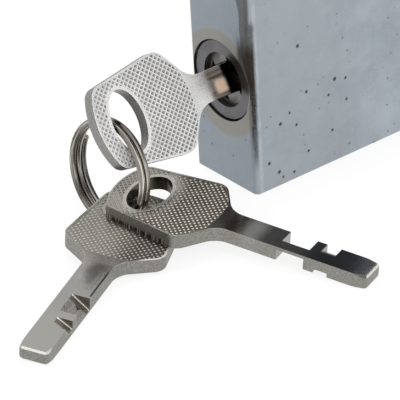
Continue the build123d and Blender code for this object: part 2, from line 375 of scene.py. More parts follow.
def addFlag(s):
    # Over the front of the table, where only polished metal sees it
    low, high = [Vector(c) for c in s["flag"]]
    dropAll()
    bpy.ops.mesh.primitive_plane_add(size=1, location=(0, 0, 0))
    flag = named("blackFlag")
    reach = high - low
    place(flag, Matrix.Translation((low + high) / 2) @ Matrix.Diagonal((reach.x, reach.y, 1, 1)))
    flag.visible_camera = flag.visible_diffuse = flag.visible_shadow = flag.visible_transmission = False
    dress(flag, Finish("blackCloth").close(Base_Color=(0.02, 0.02, 0.02), Roughness=0.9))


addSurround(studio)
addLamps(studio)
addFloor(studio)
addFlag(studio)
print("camera and studio set")

# Keys: one key is modelled flat at the origin, tip along +X, then copied to its three places.
# Lengths are in millimetres. A cut is its start, end and twist, and how far its two floors stand
# from the middle.

key = dict(thickness=3.48, bladeLength=37.9, bladeHalf=3.53, neckX=0.44, neckRound=5.0,
           shoulderX=-5.4, shoulderHalf=12.4, endX=-24.6, endHalf=9.6, apexX=-27.0, corner=3.0,
           blank=((-28, -14), (5, 14)), arcSides=12, holeX=-18.8, holeHalf=(4.3, 7.5), tipCut=1.0,
           edge=0.24, tipEdge=0.8, rim=0.45, holeRim=0.75, slack=0.05,
           fieldDepth=0.09, fieldCentre=-31.0, fieldReach=30.0, fieldTurn=0.45, fieldOver=0.01,
           above=2.0, below=3.0, core=9.0,
           knurlPitch=1.0, knurlDepth=0.26, knurlBack=0.1, knurlCount=44, knurlX=-13, knurlHalf=15.5,
           pitFloor=0.10, ridge=0.27,
           cuts=[(15.4, 22.2, 37, 0.99, 1.35), (24.65, 28.15, 30, 1.47, 2.42)], cutter=(8, 10),
           places=[("key_1", (-56.09, 0.0, 26.0), (0, 0, 57.14)),
                   ("key_2", (-94.753, -15.225, 3.66), (208.076, 2.42, -6.0)),
                   ("key_3", (-67.253, -23.661, 6.153), (-67.729, 6.787, 0.432))])


def arcCuts(centre, radius, first, last, count):
    # Planes that round a block's end: one for each chord of the arc
    spread = (last - first) / count
    flat = radius * cos(spread / 2)
    angles = [first + spread * (i + 0.5) for i in range(count)]
    return [(Vector((centre + flat * cos(a), flat * sin(a), 0)), Vector((cos(a), sin(a), 0)))
            for a in angles]


def neckLean(k):
    return atan2(k["shoulderHalf"] - k["bladeHalf"], k["neckX"] - k["shoulderX"])


def bowBlock(name, k, inset, low, high):
    # The bow's outline, drawn in by inset, as a block between two heights
    near, far = [[c * mm for c in corner] for corner in k["blank"]]
    bow = block(name, (*near, low), (*far, high))
    cuts = []
    for sign in (1, -1):
        neck = Vector((k["neckX"], sign * k["bladeHalf"], 0))
        shoulder = Vector((k["shoulderX"], sign * k["shoulderHalf"], 0))
        end = Vector((k["endX"], sign * k["endHalf"], 0))
        for a, b in ((neck, shoulder), (shoulder, end)):
            out = Vector((a.y - b.y, b.x - a.x, 0)).normalized() * (-sign)
            cuts.append((a - out * inset, out))
    gap = k["apexX"] - k["endX"]
    centre = k["endX"] + (gap * gap - k["endHalf"] ** 2) / (2 * gap)
    radius = centre - k["apexX"]
    half = atan2(k["endHalf"], centre - k["endX"])
    cuts += arcCuts(centre, radius - inset, pi - half, pi + half, k["arcSides"])
    for point, out in cuts:
        trim(bow, point * mm, out)
    # A corner's bevel is as wide as its round needs: radius times the tangent of half its turn
    corner = k["corner"] - inset
    slope = atan2(k["shoulderHalf"] - k["endHalf"], k["shoulderX"] - k["endX"])
    shoulderWidth = corner * tan((neckLean(k) + slope) / 2)
    endWidth = corner * tan((pi / 2 - half - slope) / 2)
    roundCorner(bow, (k["shoulderX"], k["shoulderHalf"]), inset, shoulderWidth)
    roundCorner(bow, (k["endX"], k["endHalf"]), inset, endWidth)
    return bow


def roundCorner(piece, spot, near, offset, segments=8, slack=0.6):
    # Rounds the upright edges at a corner, on both sides of the key
    def here(a, b):
        upright = abs(a.x - b.x) + abs(a.y - b.y) < same
        return upright and (Vector((a.x, abs(a.y))) / mm - Vector(spot)).length < near + slack
    pick(piece, "EDGE", here)
    bevelPicked(offset, segments)
    bpy.ops.mesh.select_all(action="SELECT")
    bpy.ops.mesh.remove_doubles(threshold=same)
    done()


def bevelPicked(offset, segments):
    bpy.ops.mesh.bevel(offset=offset * mm, segments=segments, profile=0.5, affect="EDGES",
                       offset_type="OFFSET")


def knurlSlab(k):
    # A sheet of small square pits between crossing ridges, set at 45 degrees to the key
    pitch, middle, half = k["knurlPitch"] * mm, k["knurlX"] * mm, k["knurlHalf"] * mm
    sheet = k["knurlDepth"] + k["knurlBack"]
    count = k["knurlCount"]
    dropAll()
    bpy.ops.mesh.primitive_grid_add(x_subdivisions=count, y_subdivisions=count, size=count * pitch,
                                    location=(middle, 0, 0), rotation=(0, 0, radians(45)))
    settle()
    slab = named("knurl")
    pick(slab, "FACE", lambda c, n: max(abs(c.x - middle), abs(c.y)) > half)
    bpy.ops.mesh.delete(type="FACE")
    bpy.ops.mesh.select_all(action="SELECT")
    bpy.ops.mesh.extrude_region_move(TRANSFORM_OT_translate={"value": (0, 0, sheet * mm)})
    bpy.ops.mesh.inset(thickness=k["ridge"] / 2 * mm, depth=0, use_individual=True)
    slope = (k["knurlPitch"] - k["ridge"] - k["pitFloor"]) / 2
    bpy.ops.mesh.inset(thickness=slope * mm, depth=-k["knurlDepth"] * mm, use_individual=True)
    pointOutwards()
    done()
    return place(slab, Matrix.Translation((0, 0, -sheet * mm)))


def fieldBlock(k, grow, low, high):
    # What the knurl fills: the bow inside its rims, up to the flat arc across the neck
    field = bowBlock("field", k, k["rim"] - grow, low, high)
    reach, turn = k["fieldReach"] + grow, k["fieldTurn"]
    for point, out in arcCuts(k["fieldCentre"], reach, -turn, turn, k["arcSides"]):
        trim(field, point * mm, out)
    radii = [(h + k["holeRim"] - grow) * mm for h in k["holeHalf"]]
    inner = bar("inner", radii, -k["core"] * mm, k["core"] * mm, k["holeX"] * mm)
    return combine(field, inner, "DIFFERENCE")


def makeBlank(k, half):
    # Bow, blade and tip, with the hole through the bow
    body = bowBlock("keyBody", k, 0, -half, half)
    trim(body, Vector((k["neckX"], 0, 0)) * mm, xAxis)
    pick(body, "FACE", lambda c, n: n.x > 0.9 and c.x > 0)
    grow = k["bladeLength"] - k["neckX"]
    bpy.ops.mesh.extrude_region_move(TRANSFORM_OT_translate={"value": (grow * mm, 0, 0)})
    done()
    roundCorner(body, (k["neckX"], k["bladeHalf"]), 0, k["neckRound"] * tan(neckLean(k) / 2))
    roundCorner(body, (k["bladeLength"], k["bladeHalf"]), 0, k["tipCut"], segments=3)
    tipStart = (k["bladeLength"] - k["tipCut"] - k["slack"]) * mm
    pick(body, "EDGE", lambda a, b: min(a.x, b.x) > tipStart and abs(a.z - b.z) < same)
    bevelPicked(k["tipEdge"], 4)
    done()
    hole = bar("hole", [h * mm for h in k["holeHalf"]], -half * 2, half * 2, k["holeX"] * mm)
    return combine(body, hole, "DIFFERENCE")


def makeKey(k):
    half = k["thickness"] / 2 * mm
    body = makeBlank(k, half)
    wide, deep = k["cutter"]
    for start, end, twist, upper, lower in k["cuts"]:
        for turn, reach in ((0, upper), (180, lower)):
            low, high = (start, -wide, reach), (end, wide, reach + deep)
            tool = block("tool", [c * mm for c in low], [c * mm for c in high])
            place(tool, Matrix.Rotation(radians(turn - twist), 4, "X"))
            combine(body, tool, "DIFFERENCE")
    slab = knurlSlab(k)
    ridgeZ = half - k["fieldDepth"] * mm
    pocketZ = ridgeZ - (k["knurlDepth"] + k["slack"]) * mm
    topZ = half + k["above"] * mm
    for turn in (0, pi):
        field = fieldBlock(k, 0, pocketZ, topZ)
        combine(body, place(field, Matrix.Rotation(turn, 4, "X")), "DIFFERENCE")
    place(slab, Matrix.Translation((0, 0, ridgeZ)))
    combine(slab, fieldBlock(k, k["fieldOver"], ridgeZ - k["below"] * mm, topZ), "INTERSECT")
    slab.data.attributes.new("knurled", "FLOAT", "FACE")
    for face in slab.data.attributes["knurled"].data:
        face.value = 1.0
    under = twin(slab, "under")
    place(under, Matrix.Rotation(pi, 4, "X"))
    soften(body, k["edge"] * mm)
    whole = join(body, slab, under)
    whole.name = whole.data.name = "keyModel"
    return whole


def keyPlace(neck, angles):
    yaw, tilt, roll = [radians(a) for a in angles]
    along = Vector((cos(yaw) * cos(tilt), sin(yaw) * cos(tilt), -sin(tilt)))
    across = Vector((-sin(yaw), cos(yaw), 0))
    up = along.cross(across) * cos(roll) - across * sin(roll)
    side = up.cross(along)
    turn = Matrix((along, side, up)).transposed().to_4x4()
    return Matrix.Translation(Vector(neck) * mm) @ turn


# Which faces are which: how steep they are, and where they lie along the key

faceMarks = dict(steep=0.3, flat=0.97, facing=0.9, level=0.1, atHole=1.02, besideCut=0.5, rimEnd=12,
                 tipZone=2.2, tipSide=-2.83, ledgeArea=1.0, pastField=0.02, underPit=-0.05)


def markFaces(mesh, k, m):
    # Tells the finish where the stamped edge, the cuts' walls and ledges, the hole's wall and the
    # rounded rims are
    for mark in ("wall", "notch", "inHole", "rounded", "ledge"):
        mesh.attributes.new(mark, "FLOAT", "FACE")
    knurled = mesh.attributes["knurled"].data
    firstCut, lastCut = k["cuts"][0][0], k["cuts"][-1][1]
    for face in mesh.polygons:
        x, y = face.center.x / mm, face.center.y / mm
        facing, rise = abs(face.normal.x), abs(face.normal.z)
        fromHole = sqrt(((x - k["holeX"]) / k["holeHalf"][0]) ** 2 + (y / k["holeHalf"][1]) ** 2)
        upright, sloped = rise < m["steep"], m["steep"] <= rise < m["flat"]
        knurl = knurled[face.index].value > 0.5
        notch = facing > m["facing"] and firstCut - m["besideCut"] < x < lastCut + m["besideCut"]
        hole = upright and fromHole < m["atHole"]
        tip = x > k["bladeLength"] - m["tipZone"] and y > m["tipSide"]
        ledge = sloped and facing < m["level"] and face.area > m["ledgeArea"] * mm * mm
        found = dict(wall=upright and not notch and not hole and not knurl, notch=notch, inHole=hole,
                     rounded=sloped and not knurl and (x < m["rimEnd"] or tip),
                     ledge=ledge and firstCut < x < lastCut)
        for mark, value in found.items():
            mesh.attributes[mark].data[face.index].value = float(value)


# Wear, painted highlights, painted reflections and painted shade that all three keys share: noises and the
# bump, then zones along, across and up the key, each from none to full, and their colours

wearAndPaintedLight = dict(cloud=(230, 4, 0.6), grain=(2600, 2, 0.5), streak=(900, 3, 0.6), streakStretch=(0.12, 1, 1),
            teeth=(2100, 1, 0.5), teethStretch=(1, 1, 0.08), bump=(0.25, 0.00012),
            shade=0.84, edgeShade=0.62, holeRub=(1.8, 1.15), endRub=(-16, -21), bladeFade=2.0,
            patchSides=(-1.7, 1.0), lineSide=(3.02, 3.12), lineRise=(1.3, 1.5), lineFrom=(3.0, 6.0),
            lineTo=(15.0, 14.5), lineColour=(0.02, 0.02, 0.022), tipFrom=(16, 27),
            ledgeFrom=(-0.3, 0), ledgeTo=(2.2, 1.6), gleamFrom=(-0.1, 0), gleamTo=(0.45, 0.33),
            gleamColour=(0.9, 0.88, 0.85), tornRise=(0.1, -1.1), tornFrom=(-5.5, -9),
            edgeGrime=(-8, -20), rimBright=(1.22, 1.12), sideFrom=(-2, 6),
            sideColour=(0.045, 0.036, 0.028), glowFrom=(6.5, 9.0), glowColour=(0.90, 0.89, 0.87),
            dullTo=(9.4, 8.4), bladeRough=0.12)


def keyFinish(name, k, w, look):
    # Everything lies on the key's own coordinates, kept with the mesh: along, across, up
    f = Finish(name)
    spot = f.mark("spot", "Vector")
    relief, knurled, rounded = f.mark("relief"), f.mark("knurled"), f.mark("rounded")
    wall, notch, ledge, inHole = f.mark("wall"), f.mark("notch"), f.mark("ledge"), f.mark("inHole")
    along, across, rise = f.parts(spot)
    holeLong, holeWide = k["holeHalf"]
    fromHole = f.length((along / mm - k["holeX"]) / holeLong, across / mm / holeWide, 0.0)
    cloud, grain = f.noise(*w["cloud"], spot), f.noise(*w["grain"], spot)
    streak = f.noise(*w["streak"], f.stretched(w["streakStretch"], spot))
    teeth = f.noise(*w["teeth"], f.stretched(w["teethStretch"], spot))
    patches, dirty = cloud.step(0.3, 0.6), cloud.step(0.3, 0.65)
    blade = along.fade(look["bladeFrom"], look["bladeFrom"] + w["bladeFade"])
    rubbed = fromHole.step(*w["holeRub"]).most(along.fade(*w["endRub"])) * look["rubbed"]
    base = f.blend(cloud.step(0.3, 0.7), darker(look["face"], w["shade"]), look["face"])
    # On key 1 the blade colour is painted dark brown, as shade inside the lock
    base = f.blend(blade * (0.75 + streak.step(0.35, 0.7) * 0.25), base, look["blade"])
    # Worn patch on keys 2 and 3, and on key 1 a painted warm reflection of brass: how far it fades along
    # the blade, where it is full, and its two sides
    reach, full, high, low = look["patchReach"]
    highEdge, lowEdge = w["patchSides"]
    wearAndReflection = (along - look["patchAt"] * mm).size().fade(reach, full) * across.fade(high, high + highEdge)
    wearAndReflection = wearAndReflection * across.fade(low, low + lowEdge) * blade * (0.6 + patches * 0.4)
    base = f.blend(wearAndReflection * 0.9, base, look["wearAndReflection"])
    # Rounded edges take a painted highlight colour
    base = f.blend(rounded * 0.8, base, look["rounded"])
    # Painted dark reflection along the blade's near upper edge, up to the first cut
    line = across.fade(*w["lineSide"]) * rise.fade(*w["lineRise"])
    line = line * along.fade(*w["lineTo"]) * along.fade(*w["lineFrom"]) * look["lineDark"]
    base = f.blend(line, base, w["lineColour"])
    # Toward the tip the blade takes the tip colour: on key 3 a painted dark reflection
    base = f.blend(along.fade(*w["tipFrom"]) * (1 - rounded) * look["tipDark"], base, look["tip"])
    # Cutter's ledges: a painted brown reflection of the wall that faces the tip, and a painted highlight
    # line where they meet
    gleam, darkInCuts = 0, 0
    for cut in k["cuts"]:
        beyond = along - cut[0] * mm
        brown = ledge * beyond.fade(*w["ledgeTo"]) * beyond.fade(*w["ledgeFrom"]) * look["ledgeDark"]
        meeting = ledge * beyond.fade(*w["gleamTo"]) * beyond.fade(*w["gleamFrom"]) * look["ledgeDark"]
        base = f.blend(meeting, f.blend(brown, base, look["notch"]), w["gleamColour"])
        gleam, darkInCuts = meeting + gleam, brown + darkInCuts
    darkInCuts = (darkInCuts + notch * look["ledgeDark"]) * (1 - gleam)
    stamped = f.blend(grain.step(0.35, 0.7) * 0.8, darker(look["wall"], w["edgeShade"]), look["wall"])
    base = f.blend(wall, base, stamped)
    # The stamped edge is torn into small upright teeth below, with grime between them and a painted
    # highlight on the teeth
    torn = wall * rise.fade(*w["tornRise"]) * along.fade(*w["tornFrom"]) * look["torn"]
    base = f.blend(torn * teeth.step(0.45, 0.53), base, look["grime"])
    base = f.blend(torn * teeth.step(0.42, 0.34) * 0.8, base, look["rounded"])
    base = f.blend(wall * look["torn"] * along.fade(*w["edgeGrime"]) * patches * 0.12, base, look["grime"])
    # The hole's wall is painted dark, as shade
    base = f.blend(inHole * 0.9, base, look["inside"])
    # Smooth rim round the hole, with a painted highlight
    bright = fromHole.step(*w["rimBright"]) * (1 - inHole) * (1 - wall) * look["rimLight"]
    base = f.blend(bright, base, look["rounded"])
    base = f.blend(notch * (0.75 + cloud * 0.25), base, look["notch"])
    film = knurled * (0.85 + dirty * 0.15) * (1 - rubbed) * look["film"]
    base = f.blend(film, base, look["grime"])
    # The side that lies under the next key gets a painted shadow and dirt between its ridges, and a painted
    # highlight on its rim
    covered = across.fade(*w["sideFrom"]) * look["covered"]
    base = f.blend(covered * knurled * (0.9 + dirty * 0.5).least(1.2), base, w["sideColour"])
    glow = across.fade(*w["glowFrom"]) * (1 - knurled) * (1 - wall) * look["covered"]
    base = f.blend(glow, base, w["glowColour"])
    # Pit floors have their own tone: darker on key 1, and on keys 2 and 3 pale, a painted glint that also
    # scatters light
    pit = (1 - relief.step(*look["pitEdge"])) * (1 - rubbed * 0.6) * knurled
    colour = f.blend(pit * look["pits"], base, look["pit"])
    # What is worn or dirty scatters light, and so do the painted highlights, glints and reflections and key
    # 1's painted blade, so their colours show; the rest mirrors it
    dirt = film * (1 - pit)
    scatter = dirt * 0.75 + wearAndReflection * look["dull"] + pit * look["pitGlint"]
    scatter = scatter + (rounded + gleam + bright * 0.5).most(glow) * 0.6 + darkInCuts * 0.7
    scatter = scatter + blade * along.fade(*w["dullTo"]) * look["bladeDull"]
    scatter = scatter + (1 - blade) * (1 - wall) * look["satin"]
    rough = look["rough"] + dirt * 0.2 + wall * 0.16 + (grain - 0.5) * 0.10
    rough = rough - blade * (1 - wall) * (look["rough"] - w["bladeRough"])
    height = grain * (0.25 + wall * 0.8) + cloud * 0.5 + torn * teeth * 2.5 + streak * blade * 0.3
    return f.close(Base_Color=colour, Metallic=1 - scatter, Roughness=rough,
                   Normal=f.bump(height, *w["bump"]))


keyLooks = dict(
    key_1=dict(face=(0.86, 0.855, 0.845), blade=(0.115, 0.082, 0.060), wall=(0.36, 0.355, 0.335),
               inside=(0.10, 0.095, 0.08), notch=(0.08, 0.06, 0.045), grime=(0.60, 0.595, 0.585),
               pit=(0.29, 0.285, 0.28), rounded=(0.95, 0.95, 0.94), wearAndReflection=(0.52, 0.36, 0.26),
               tip=(0.10, 0.08, 0.06), patchAt=7.5, patchReach=(2.2, 0.7, 1.3, -3.0), pitEdge=(0.82, 1.0),
               bladeFrom=3.2, rough=0.28, pitGlint=0.0, satin=0.20, pits=0.95, film=0.15, rubbed=0.3,
               torn=0.0, dull=0.85, lineDark=0.0, tipDark=0.0, ledgeDark=0.0, rimLight=0.22,
               covered=0.0, bladeDull=0.5),
    key_2=dict(face=(0.37, 0.355, 0.325), blade=(0.33, 0.32, 0.30), wall=(0.34, 0.33, 0.30),
               inside=(0.07, 0.06, 0.045), notch=(0.060, 0.046, 0.030), grime=(0.12, 0.107, 0.087),
               pit=(0.60, 0.58, 0.54), rounded=(0.62, 0.60, 0.57), wearAndReflection=(0.38, 0.38, 0.38),
               tip=(0.37, 0.36, 0.335), patchAt=8.0, patchReach=(2.2, 0.7, 1.3, -3.0), pitEdge=(0.10, 0.80),
               bladeFrom=1.5, rough=0.26, pitGlint=0.6, satin=0.0, pits=0.85, film=0.55, rubbed=0.3,
               torn=0.15, dull=0.0, lineDark=0.9, tipDark=0.8, ledgeDark=0.9, rimLight=0.0,
               covered=0.7, bladeDull=0.0),
    key_3=dict(face=(0.38, 0.355, 0.32), blade=(0.40, 0.375, 0.345), wall=(0.35, 0.34, 0.31),
               inside=(0.06, 0.05, 0.035), notch=(0.32, 0.31, 0.29), grime=(0.040, 0.030, 0.022),
               pit=(0.84, 0.79, 0.73), rounded=(0.60, 0.58, 0.54), wearAndReflection=(0.36, 0.355, 0.35),
               tip=(0.125, 0.125, 0.132), patchAt=8.2, patchReach=(4.0, 0.2, 6.0, -6.0), pitEdge=(0.10, 0.80),
               bladeFrom=1.0, rough=0.24, pitGlint=0.6, satin=0.0, pits=0.95, film=0.97, rubbed=1.0,
               torn=1.0, dull=0.27, lineDark=0.0, tipDark=0.95, ledgeDark=0.0, rimLight=0.4,
               covered=0.0, bladeDull=0.0))


def markPoints(mesh, k, m):
    # Each point keeps its place on the key, and how high it stands in the knurl: 0 in a pit, 1 on a ridge
    pitLow = (k["thickness"] / 2 - k["fieldDepth"] - k["knurlDepth"]) * mm
    neckEnd = (k["fieldCentre"] + k["fieldReach"] + m["pastField"]) * mm
    mesh.attributes.new("relief", "FLOAT", "POINT")
    mesh.attributes.new("spot", "FLOAT_VECTOR", "POINT")
    relief, spot = mesh.attributes["relief"], mesh.attributes["spot"]
    for vertex, depth, local in zip(mesh.vertices, relief.data, spot.data):
        local.vector = vertex.co
        height = (abs(vertex.co.z) - pitLow) / (k["knurlDepth"] * mm)
        inField = vertex.co.x < neckEnd and height > m["underPit"]
        depth.value = min(1, max(0, height)) if inField else 1.0


def addKeys(k):
    model = makeKey(k)
    markPoints(model.data, k, faceMarks)
    markFaces(model.data, k, faceMarks)
    for name, neck, angles in k["places"]:
        piece = twin(model, name.replace("_", "") + "Knurled")
        place(piece, keyPlace(neck, angles))
        dress(piece, keyFinish(name.replace("_", "") + "Nickel", k, wearAndPaintedLight, keyLooks[name]))
        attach(piece, name)
        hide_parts(name)
        print(piece.name, len(piece.data.polygons), "faces")
    bpy.data.objects.remove(model)


addKeys(key)


def woundWire(name, w, rise):
    # A coil round the Z axis, wound up from z = 0, with both ends closed
    dropAll()
    bpy.ops.mesh.primitive_circle_add(vertices=w["sides"], radius=w["thick"] / 2 * mm,
                                      location=(w["radius"] * mm, 0, 0), rotation=(pi / 2, 0, 0))
    wire = named(name)
    bpy.ops.transform.resize(value=(1, 1, w["wide"] / w["thick"]), center_override=(0, 0, 0))
    settle()
    coil = wire.modifiers.new("coil", "SCREW")
    coil.angle, coil.screw_offset, coil.iterations = radians(360 * w["turns"]), rise * mm, 1
    coil.steps = coil.render_steps = round(w["steps"] * w["turns"])
    coil.use_merge_vertices = False
    bpy.ops.object.modifier_apply(modifier=coil.name)
    bpy.ops.object.mode_set(mode="EDIT")
    bpy.ops.mesh.select_mode(type="EDGE")
    bpy.ops.mesh.select_all(action="DESELECT")
    bpy.ops.mesh.select_non_manifold(extend=False, use_boundary=True, use_wire=False,
                                     use_multi_face=False, use_non_contiguous=False, use_verts=False)
    bpy.ops.mesh.edge_face_add()
    pointOutwards()
    done()
    return wire


def smoothWire(wire):
    take(wire)
    bpy.ops.object.shade_smooth_by_angle(angle=radians(40))


# Split ring: flattened wire, two and a quarter turns that touch

ring = dict(centre=(-78.62, 1.65, 14.4), yaw=1.93, dip=-7.7, radius=11.73, pitch=1.52, turns=2.25,
            start=19.15, wide=1.46, thick=1.55, sides=20, steps=96,
            dark=(0.08, 0.070, 0.055), brown=(0.23, 0.21, 0.185), bright=(0.82, 0.79, 0.74),
            front=(0.36, 0.33, 0.29), frontFrom=(4, -6), stretch=0.07)


def ringFinish(r, turn):
    # Painted highlight lines follow the wire over a dark and brown tone, and its front side is painted
    # lighter: the noise is laid on the ring's own radius and axis
    f = Finish("ringNickel")
    cloud = f.noise(180, 4)
    fine = f.noise(1500, 3)
    own = f.node("ShaderNodeMapping", {"vector_type": "TEXTURE"}, f.place,
                 Vector(r["centre"]) * mm, turn.to_euler())
    a, b, c = f.parts(own)
    lines = f.noise(1700, 2, 0.5, f.vector(f.length(a, b, 0.0), c, a * r["stretch"]))
    front = f.parts()[1].fade(*r["frontFrom"])
    gleam = lines.step(0.50, 0.62)
    colour = f.blend(cloud.step(0.3, 0.7), r["dark"], r["brown"])
    colour = f.blend(gleam * (0.45 + front * 0.5), colour, r["bright"])
    colour = f.blend(front * (1 - gleam) * 0.5, colour, r["front"])
    return f.close(Base_Color=colour, Metallic=1.0, Roughness=0.20 + cloud * 0.08,
                   Normal=f.bump(fine, 0.08, 0.0001))


def addRing(r):
    yaw, dip = radians(r["yaw"]), radians(r["dip"])
    axis = Vector((cos(dip) * cos(yaw), cos(dip) * sin(yaw), sin(dip)))
    side = zAxis.cross(axis).normalized()
    up = axis.cross(side)
    first = radians(r["start"] - 360 * r["turns"])
    start = side * cos(first) + up * sin(first)
    turn = Matrix((start, axis.cross(start), axis)).transposed().to_4x4()
    rise = r["pitch"] * r["turns"]
    wire = woundWire("splitRingWire", r, rise)
    drop = Matrix.Translation((0, 0, -rise / 2 * mm))
    place(wire, Matrix.Translation(Vector(r["centre"]) * mm) @ turn @ drop)
    smoothWire(wire)
    dress(wire, ringFinish(r, turn))
    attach(wire, "split_ring")
    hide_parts("split_ring")
    print("split ring coiled:", len(wire.data.polygons), "faces")


addRing(ring)

# Locking pin's spring: the same coil in thin round wire

spring = dict(centre=(-12.0, 0.0), low=40.5, high=45.5, radius=3.6, turns=3.5,
              wide=0.9, thick=0.9, sides=14, steps=48, dark=(0.30, 0.31, 0.33), light=(0.44, 0.45, 0.47))


def addSpring(s):
    wire = woundWire("pinSpringWire", s, s["high"] - s["low"])
    place(wire, Matrix.Translation(Vector((*s["centre"], s["low"])) * mm))
    smoothWire(wire)
    f = Finish("springSteel")
    fine = f.noise(900, 3)
    dress(wire, f.close(Base_Color=f.blend(fine, s["dark"], s["light"]), Metallic=1.0,
                        Roughness=0.24 + fine * 0.15, Normal=f.bump(fine, 0.1, 0.0001)))
    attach(wire, "body")
    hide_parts("pin_spring")
    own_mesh(wire)
    print("spring coiled:", len(wire.data.polygons), "faces")


addSpring(spring)

# Block: satin zinc over steel, with pits, a rubbed halo round the cylinder and a brown stain beside it,
# partly a painted reflection of the cylinder.
# A pit is its place along and up the wide face and its size; a zone runs from none to full, in millimetres

plate = dict(light=(0.475, 0.525, 0.575), dark=(0.30, 0.335, 0.37), blue=(0.31, 0.37, 0.43),
             warm=(0.34, 0.365, 0.385), end=(0.25, 0.285, 0.32), halo=(0.30, 0.285, 0.245),
             bare=(0.115, 0.117, 0.12), rim=(0.52, 0.57, 0.62), stain=(0.040, 0.030, 0.022),
             pit=(0.04, 0.035, 0.032), speck=(0.12, 0.125, 0.135), bore=(0.012, 0.012, 0.012),
             noise=dict(broad=(28, 4, 0.6), mottle=(150, 5, 0.62), grain=(1800, 3), fleck=(3200, 2, 0.7),
                        bluish=(70, 3, 0.5), dull=(240, 4, 0.6), pale=(900, 3, 0.7)), bump=(0.30, 0.00022),
             frontY=-11, warmFrom=(5, -35), endFrom=(46.4, 46.9), warp=0.0003, warpScale=1500.0,
             loose=dict(scale=95.0, size=(0.052, 0.022), share=(0.60, 0.64), channel=0),
             looseFace=(-10.8, -10.6),
             tiny=dict(scale=400.0, size=(0.170, 0.090), share=(0.68, 0.72), channel=1),
             haloZ=25.5, haloWave=3.0, haloEdge=(13.6, 12.6), haloFace=(-46.6, -46.9),
             boreEdge=(10.25, 10.15), boreFace=(-47.0, -46.8))
pits = [(-33.0, 34.0, 0.62), (-31.0, 21.4, 0.55), (-34.3, 14.1, 0.5), (-39.0, 16.1, 0.6),
        (-36.2, 17.9, 0.45), (-22.5, 21.5, 0.65), (-19.3, 20.6, 0.5), (-24.5, 18.1, 0.5),
        (-19.2, 15.0, 0.5), (-23.8, 8.6, 0.5), (-31.1, 6.0, 0.5), (-42.8, 7.2, 0.6),
        (-40.0, 3.9, 0.62), (-35.6, 2.2, 0.5), (-38.9, 2.2, 0.45), (-11.3, 0.3, 0.5)]

# Worn band down the front upright edge: it leans back above and widens below; then the stain beside the
# cylinder, partly a painted reflection of it, and a thin painted highlight line on the wide face's own edge

band = dict(leanFrom=46.5, lean=0.37, leanCap=1.8, belowFrom=(37, 27), below=2.6, wave=1.2,
            edge=(-7.4, -7.9), cornerFrom=(-45.3, -45.9), cornerTo=(-46.3, -46.8), roundBelow=(46, 43),
            low=(5.5, 12), blackFrom=(14, 20), blackTo=(39.5, 34.5),
            stainSide=(-5.6, -7.4), stainFace=(-45.2, -46.2), stainFrom=(23, 29), stainTo=(41, 36),
            lineSide=(-10.4, -10.8), lineFrom=(-44.6, -45.2), lineTo=(-46.2, -45.7))


def scattered(f, at, scale, size, share, channel):
    # Round specks, one in some of the cells
    cell = f.node("ShaderNodeTexVoronoi", {"feature": "F1"}, at, None, scale)
    return cell.step(*size) * f.parts(cell.other("Color"))[channel].step(*share)


